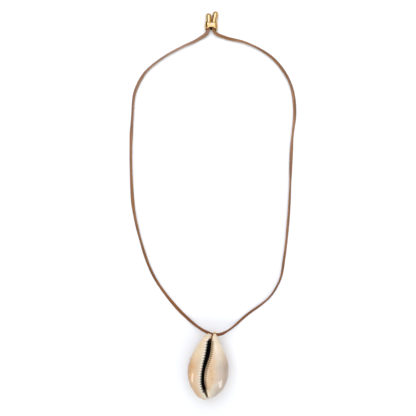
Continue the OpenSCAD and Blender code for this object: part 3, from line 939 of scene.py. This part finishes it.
def shell_back(made, share, place):
    """The back is warm tan with a pale line and brown mottling."""
    back = made.ramp(
        made.noise(place, 170, 4, 0.62),
        (0.34, (146, 98, 60)), (0.44, (184, 136, 90)), (0.56, (214, 174, 130)), (0.7, (226, 198, 160)),
    )
    from_line = made.math("ABSOLUTE", made.math("SUBTRACT", share, 0.16))
    return made.over(back, made.fit(from_line, 0.1, 0.02), 0.55, (232, 212, 182))


def shell_lips(made, base, v):
    """Teeth: pale ridges with tan grooves on the outer lip, brown ones on the inner lip, and painted shade
    where the lips turn into the slit.
    """
    base = made.over(base, made.mark("left_lip"), 0.75, (238, 232, 212))
    browns = made.ramp(
        v,
        (0.1, (150, 110, 44)), (0.3, (138, 97, 46)), (0.55, (142, 98, 58)), (0.75, (120, 80, 42)),
        (0.86, (116, 76, 38)),
    )
    base = made.over(base, made.mark("right_lip"), 0.88, browns)
    # Painted shade: dark brown where the inner lip turns down into the slit
    base = made.mix(made.fit(made.mark("turned_right"), 0.3, 0.9, 0.0, 0.85), base, (104, 58, 26))
    for mark, strength, colour in PAINTED:
        base = made.over(base, made.mark(mark), strength, colour)
    return base


def shell_material():
    """Glazed shell: its two sides, its lips, and the inside painted dark as shade, paler in the canals."""
    made = Recipe("cowrie_glaze")
    v, share, hollow = made.mark("v"), made.mark("share"), made.mark("hollow")
    place = made.place()
    cloud = made.noise(place, 260, 3)
    base = shell_base(made, v, share, place, cloud)
    # Fine growth lines along the shell, and soft clouds in the glaze
    lines = made.noise(made.join(made.times(share, 16), made.times(v, 2.2)), 2.4, 4, 0.6)
    base = made.tone(base, lines, 0.3, 0.7, 0.93, 1.05)
    base = made.tone(base, made.noise(place, 150, 3), 0.3, 0.7, 0.94, 1.04)
    base = made.mix(made.mark("under"), base, shell_back(made, share, place))
    base = shell_lips(made, base, v)
    # Painted shade: the inside is painted nearly black, fading to paler tans in the canals at each end
    within = made.ramp(cloud, (0.35, (16, 10, 8)), (0.7, (32, 21, 15)))
    within = made.mix(made.fit(v, 0.085, 0.05), within, (232, 188, 138))
    within = made.mix(made.fit(v, 0.885, 0.925), within, (172, 130, 92))
    base = made.mix(hollow, base, within)
    rough = made.fit(cloud, 0.3, 0.7, 0.26, 0.4, smooth=False)
    rough = made.math("MAXIMUM", rough, made.times(hollow, 0.75))
    fine = made.bump(lines, 0.00004, 0.5)
    pits = made.bump(made.noise(place, 1400, 2), 0.00002, 0.5, fine)
    made.shade(Base_Color=base, Roughness=rough, Normal=pits, Coat_Weight=0.55, Coat_Roughness=0.09)
    made.shade(Specular_IOR_Level=0.5, Subsurface_Weight=0.08, Subsurface_Scale=0.0015)
    return made


def gold_material():
    """Polished gold with fine scuffs; the bead's inside is painted dark and dull as shade."""
    made = Recipe("polished_gold")
    place = made.place()
    cloud = made.noise(place, 320, 2)
    base = made.ramp(cloud, (0.3, (238, 200, 136)), (0.7, (244, 209, 148)))
    scuffs = made.noise(made.scaled(place, (900, 260, 900)), 1, 5, 0.6)
    rough = made.fit(scuffs, 0.35, 0.75, 0.1, 0.24, smooth=False)
    waves = made.bump(made.noise(place, 420, 2), 0.00006, 0.5)
    fine = made.bump(scuffs, 0.000006, 0.4, waves)
    # Painted shade: the bead's inside is painted dark brown, rough and not metal
    inner = made.mark("inner")
    base = made.mix(inner, base, (34, 22, 15))
    rough = made.math("MAXIMUM", rough, made.times(inner, 0.8))
    made.shade(Base_Color=base, Metallic=made.math("SUBTRACT", 1.0, inner), Roughness=rough, Normal=fine)
    made.shade(Specular_Tint=linear((150, 108, 60)))
    return made


# The cord's tones run over this length, in millimetres
TONES_RUN = 615


def silk_material():
    """Woven silk with darker stitches, and painted shade along its folds."""
    made = Recipe("silk_weave")
    along, across, fold, stitch = (made.mark(key) for key in ("along", "across", "fold", "stitch"))
    place = made.place()
    # Tones drift along the cord: rosy by the bead, red-brown and darker by the shell
    base = made.ramp(
        made.math("DIVIDE", along, TONES_RUN),
        (0.0, (166, 124, 97)), (0.12, (167, 125, 97)), (0.26, (163, 117, 80)), (0.34, (141, 95, 53)),
        (0.42, (151, 94, 44)), (0.5, (132, 73, 29)), (0.57, (144, 90, 43)), (0.68, (162, 115, 82)),
        (0.84, (170, 128, 97)), (0.93, (151, 99, 56)), (1.0, (158, 110, 65)),
    )
    drift = made.noise(made.join(made.times(along, 0.045)), 1, 2)
    base = made.tone(base, drift, 0.3, 0.7, 0.86, 1.12)
    bands = made.noise(made.join(made.times(across, 1.6), made.times(along, 0.03)), 1.5, 3, 0.55)
    base = made.tone(base, bands, 0.34, 0.66, 0.72, 1.3)
    # The weave's slanting ribs, broken up thread by thread
    slant = made.math("ADD", made.times(along, 15.5), made.times(across, 2.2))
    rib = made.fit(made.math("SINE", slant), -1, 1, 0, 1, smooth=False)
    thread = made.noise(made.join(made.times(along, 5), made.times(across, 9)), 1.6, 3)
    weave = made.times(rib, made.fit(thread, 0.25, 0.75, 0.35, 1, smooth=False))
    base = made.tone(base, weave, 0, 1, 0.82, 1.18)
    # Painted shade: darker along the creases of the folds
    base = made.over(base, fold, 0.4, (98, 60, 40))
    base = made.mix(stitch, base, (30, 16, 9))
    height = made.math("SUBTRACT", weave, made.times(stitch, 1.4))
    relief = made.bump(height, 0.00007, 0.8)
    fuzz = made.bump(made.noise(place, 9000, 2), 0.00002, 0.4, relief)
    rough = made.fit(thread, 0.25, 0.75, 0.5, 0.72, smooth=False)
    made.shade(Base_Color=base, Roughness=rough, Normal=fuzz, Specular_IOR_Level=0.4)
    made.shade(Sheen_Weight=0.25, Sheen_Roughness=0.45, Sheen_Tint=linear((236, 206, 186)))
    return made


shell_material().give(shell)
gold_material().give(bead, bail, cap_left, cap_right)
silk_material().give(cord)

# Floor and light, in metres

FLOOR_DROP = 0.00002
FLOOR_GLOW = 0.04
WALL_AT = 2.4
WALL_HIGH = 1.6
WALL_GLOW = 0.45
# The dome's colour at sines of the elevation: dim and warm at the horizon, a little cool overhead
DOME = [
    (0.0, (0.08, 0.058, 0.035, 1)), (0.3, (0.12, 0.09, 0.055, 1)), (0.5, (0.28, 0.24, 0.18, 1)),
    (0.68, (0.66, 0.64, 0.6, 1)), (0.85, (0.93, 0.95, 1.0, 1)), (1.0, (0.82, 0.84, 0.92, 1)),
]
DOME_STRENGTH = 1.45
# Azimuth and elevation of each patch, its inner and outer radius in degrees, and what it multiplies by
PATCHES = [
    (131, 50, 4, 9, (1.4, 2.0, 3.0)),
    (152, 31, 13, 21, (0.1, 0.06, 0.0)),
    (180, 50, 11, 20, (0.3, 0.2, 0.08)),
    (-40, 71, 6, 22, (0.9, 0.8, 0.6)),
    (13, 41, 6, 17, (0.52, 0.52, 0.46)),
    (96, 52, 3, 12, (0.7, 0.84, 1.1)),
    (75, 66, 6, 16, (1.0, 1.08, 1.6)),
    (28, 8, 8, 20, (3.5, 3.3, 2.8)),
]
KEY_FROM = (105, 66)
KEY_AWAY = 1.6
KEY_SIZE = 1.3
KEY_WATTS = 12
KEY_TINT = (0.98, 1.0, 1.02)
STRIP_AWAY = 0.6
# Each strip: the place it is aimed at in millimetres, the azimuth and elevation of its two ends seen from
# there, its width in degrees and its radiance
STRIPS = [
    ("strip_left", (-11.9, -134, 22.6), (-166, 30), (-146, 12), 7, 12),
    ("strip_vee_left", (8.7, -138.7, 23.1), (-44, 44), (-48, 16), 5, 9),
    ("strip_vee_right", (10, -138, 22.8), (-46, 12), (-35, 33), 5, 9),
    ("strip_middle", (-0.1, -133.6, 25), (-98, 74), (-98, 66), 2.5, 8),
]


def stage_material(name, scale, darker, lighter, glow):
    """Matt white with faint clouds and a little light of its own."""
    made = Recipe(name)
    faint = made.noise(made.place(), scale, 2)
    made.shade(Base_Color=made.ramp(faint, (0.0, darker), (1.0, lighter)))
    made.shade(Roughness=0.9, Specular_IOR_Level=0.1)
    made.shade(Emission_Color=(1, 1, 1, 1), Emission_Strength=glow)
    return made


def make_floor():
    """The white table, a hair below what lies on it."""
    size = WALL_AT
    corners = [(-size, -size, 0), (size, -size, 0), (size, size, 0), (-size, size, 0)]
    floor = make_mesh("floor", corners, [[0, 1, 2, 3]])
    floor.location.z = -FLOOR_DROP
    stage_material("white_table", 6, (242, 246, 249), (244, 248, 251), FLOOR_GLOW).give(floor)


def make_wall():
    """A pale wall round the table for the camera alone, so that the gold still reflects the dome."""
    sides = 96
    a = np.linspace(0, 2 * np.pi, sides, endpoint=False)
    foot = WALL_AT * np.stack([np.cos(a), np.sin(a), 0 * a], -1)
    points = np.concatenate([foot - (0, 0, 0.01), foot + (0, 0, WALL_HIGH)])
    wall = make_mesh("wall", points, grid_faces(2, sides))
    wall.visible_diffuse = False
    wall.visible_glossy = False
    wall.visible_shadow = False
    stage_material("white_wall", 3, (240, 242, 244), (244, 246, 248), WALL_GLOW).give(wall)


def towards(azimuth, elevation):
    """The direction at an azimuth from +X and an elevation, in degrees."""
    a, e = math.radians(azimuth), math.radians(elevation)
    return Vector((math.cos(a) * math.cos(e), math.sin(a) * math.cos(e), math.sin(e)))


def make_world():
    """A studio dome: bright overhead, dark at the horizon, with brighter and darker patches."""
    world = bpy.data.worlds.new("studio")
    bpy.context.scene.world = world
    world.use_nodes = True
    made = Nodes(world.node_tree)
    ahead = made.node("ShaderNodeTexCoord").outputs["Generated"]
    colour = made.light_ramp(made.node("ShaderNodeSeparateXYZ", {0: ahead}).outputs[2], DOME)
    for azimuth, elevation, inner, outer, tint in PATCHES:
        near = made.vector("DOT_PRODUCT", ahead, towards(azimuth, elevation), "Value")
        share = made.fit(near, math.cos(math.radians(outer)), math.cos(math.radians(inner)))
        change = made.vector("MULTIPLY", share, [part - 1 for part in tint])
        colour = made.vector("MULTIPLY", colour, made.vector("ADD", change, (1, 1, 1)))
    back = world.node_tree.nodes["Background"]
    made.put(back.inputs[0], colour)
    made.put(back.inputs[1], DOME_STRENGTH)


def make_strip(name, at, start, end, width, radiance):
    """A lit strip that a place sees between two directions, STRIP_AWAY from it."""
    at = Vector(at) * MM
    ends = [at + towards(*direction) * STRIP_AWAY for direction in (start, end)]
    data = bpy.data.lights.new(name, "AREA")
    data.shape = "RECTANGLE"
    data.size = (ends[1] - ends[0]).length
    data.size_y = STRIP_AWAY * math.radians(width)
    data.energy = radiance * math.pi * data.size * data.size_y
    light = bpy.data.objects.new(name, data)
    light.location = (ends[0] + ends[1]) / 2
    long_way = (ends[1] - ends[0]).normalized()
    back_way = (light.location - at).normalized()
    short_way = back_way.cross(long_way).normalized()
    back_way = long_way.cross(short_way)
    light.rotation_euler = Matrix((long_way, short_way, back_way)).transposed().to_euler()
    light.visible_diffuse = False
    bpy.context.scene.collection.objects.link(light)


def make_key():
    """A wide soft light that aims at the middle of the table and shows in no gloss."""
    data = bpy.data.lights.new("soft_key", "AREA")
    data.size = KEY_SIZE
    data.energy = KEY_WATTS
    data.color = KEY_TINT
    light = bpy.data.objects.new("soft_key", data)
    ahead = towards(*KEY_FROM)
    light.location = ahead * KEY_AWAY
    light.rotation_euler = ahead.to_track_quat("Z", "Y").to_euler()
    light.visible_glossy = False
    bpy.context.scene.collection.objects.link(light)


make_floor()
make_wall()
make_world()
make_key()
for strip in STRIPS:
    make_strip(*strip)
bpy.context.scene.view_settings.view_transform = "Standard"
